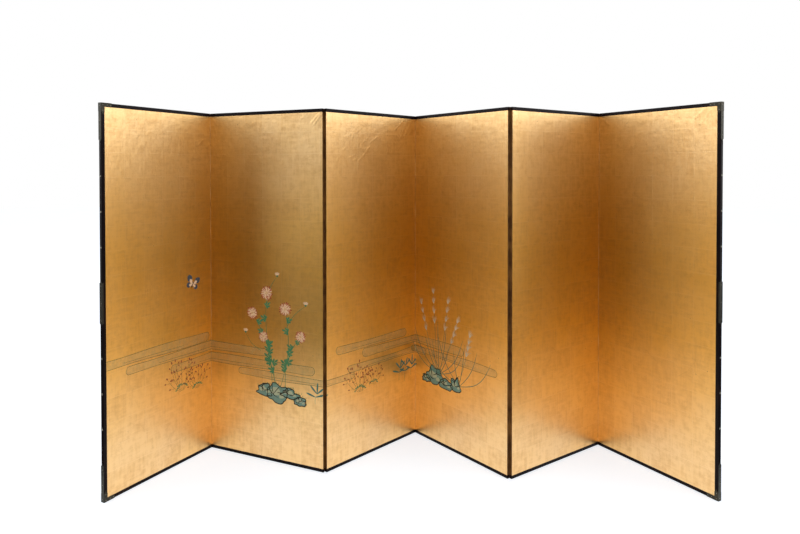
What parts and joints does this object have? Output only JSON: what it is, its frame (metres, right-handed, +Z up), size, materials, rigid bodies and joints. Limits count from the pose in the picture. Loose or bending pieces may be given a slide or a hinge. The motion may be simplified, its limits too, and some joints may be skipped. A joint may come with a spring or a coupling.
{
  "type": "byobu folding screen",
  "caption": "Free-standing zigzag folding screen: gold-papered panels in black lacquered frames, joined by interleaved paper hinges.",
  "frame": {"origin": "on the floor, under the middle of the standing screen's box", "axes": "+X along the screen from its left end to its right end, +Y towards its back, +Z up"},
  "size_m": [2.6632, 0.753, 1.7112],
  "materials": {
    "cedar": "planed, bare",
    "bamboo": "split, bare",
    "under_paper": "matte",
    "hinge_paper": "matte, gilded and darkened",
    "gold_paper": "satin gold leaf",
    "back_paper": "matte",
    "black_lacquer": "gloss lacquer",
    "dark_metal": "satin, darkened"
  },
  "bodies": {
    "panel_1": {"fold_1_hinge_strips_left": "hinge_paper", "left_corner_fittings": "dark_metal", "left_middle_fitting": "dark_metal", "left_stile": "black_lacquer", "left_stile_stud_nails": "dark_metal", "panel_1_back_paper": "back_paper", "panel_1_bottom_rail": "black_lacquer", "panel_1_gold_paper": "gold_paper", "panel_1_lattice": "cedar", "panel_1_rail_pegs": "bamboo", "panel_1_top_rail": "black_lacquer", "panel_1_under_papers": "under_paper"},
    "panel_2": {"fold_1_hinge_strips_right": "hinge_paper", "fold_2_hinge_strips_left": "hinge_paper", "panel_2_back_paper": "back_paper", "panel_2_bottom_rail": "black_lacquer", "panel_2_gold_paper": "gold_paper", "panel_2_lattice": "cedar", "panel_2_rail_pegs": "bamboo", "panel_2_top_rail": "black_lacquer", "panel_2_under_papers": "under_paper"},
    "panel_3": {"fold_2_hinge_strips_right": "hinge_paper", "fold_3_hinge_strips_left": "hinge_paper", "panel_3_back_paper": "back_paper", "panel_3_bottom_rail": "black_lacquer", "panel_3_gold_paper": "gold_paper", "panel_3_lattice": "cedar", "panel_3_rail_pegs": "bamboo", "panel_3_top_rail": "black_lacquer", "panel_3_under_papers": "under_paper"},
    "panel_4": {"fold_3_hinge_strips_right": "hinge_paper", "fold_4_hinge_strips_left": "hinge_paper", "panel_4_back_paper": "back_paper", "panel_4_bottom_rail": "black_lacquer", "panel_4_gold_paper": "gold_paper", "panel_4_lattice": "cedar", "panel_4_rail_pegs": "bamboo", "panel_4_top_rail": "black_lacquer", "panel_4_under_papers": "under_paper"},
    "panel_5": {"fold_4_hinge_strips_right": "hinge_paper", "fold_5_hinge_strips_left": "hinge_paper", "panel_5_back_paper": "back_paper", "panel_5_bottom_rail": "black_lacquer", "panel_5_gold_paper": "gold_paper", "panel_5_lattice": "cedar", "panel_5_rail_pegs": "bamboo", "panel_5_top_rail": "black_lacquer", "panel_5_under_papers": "under_paper"},
    "panel_6": {"fold_5_hinge_strips_right": "hinge_paper", "panel_6_back_paper": "back_paper", "panel_6_bottom_rail": "black_lacquer", "panel_6_gold_paper": "gold_paper", "panel_6_lattice": "cedar", "panel_6_rail_pegs": "bamboo", "panel_6_top_rail": "black_lacquer", "panel_6_under_papers": "under_paper", "right_corner_fittings": "dark_metal", "right_middle_fitting": "dark_metal", "right_stile": "black_lacquer", "right_stile_stud_nails": "dark_metal"}
  },
  "joints": [
    {"name": "fold_1", "type": "hinge", "parent": "panel_2", "child": "panel_1", "pos_m": [-0.97805, 0.18101, 0], "axis": [0, 0, -1], "range_deg": [-95, 84.5]},
    {"name": "fold_2", "type": "hinge", "parent": "panel_3", "child": "panel_2", "pos_m": [-0.38554, -0.08672, 0], "axis": [0, 0, 1], "range_deg": [-108.3, 71.2]},
    {"name": "fold_3", "type": "hinge", "parent": "panel_3", "child": "panel_4", "pos_m": [0.08125, 0.36588, 0], "axis": [0, 0, 1], "range_deg": [-79.3, 100.2]},
    {"name": "fold_4", "type": "hinge", "parent": "panel_4", "child": "panel_5", "pos_m": [0.46967, -0.15553, 0], "axis": [0, 0, -1], "range_deg": [-89.8, 89.7]},
    {"name": "fold_5", "type": "hinge", "parent": "panel_5", "child": "panel_6", "pos_m": [1.01112, 0.20443, 0], "axis": [0, 0, 1], "range_deg": [-82.3, 97.2]}
  ]
}
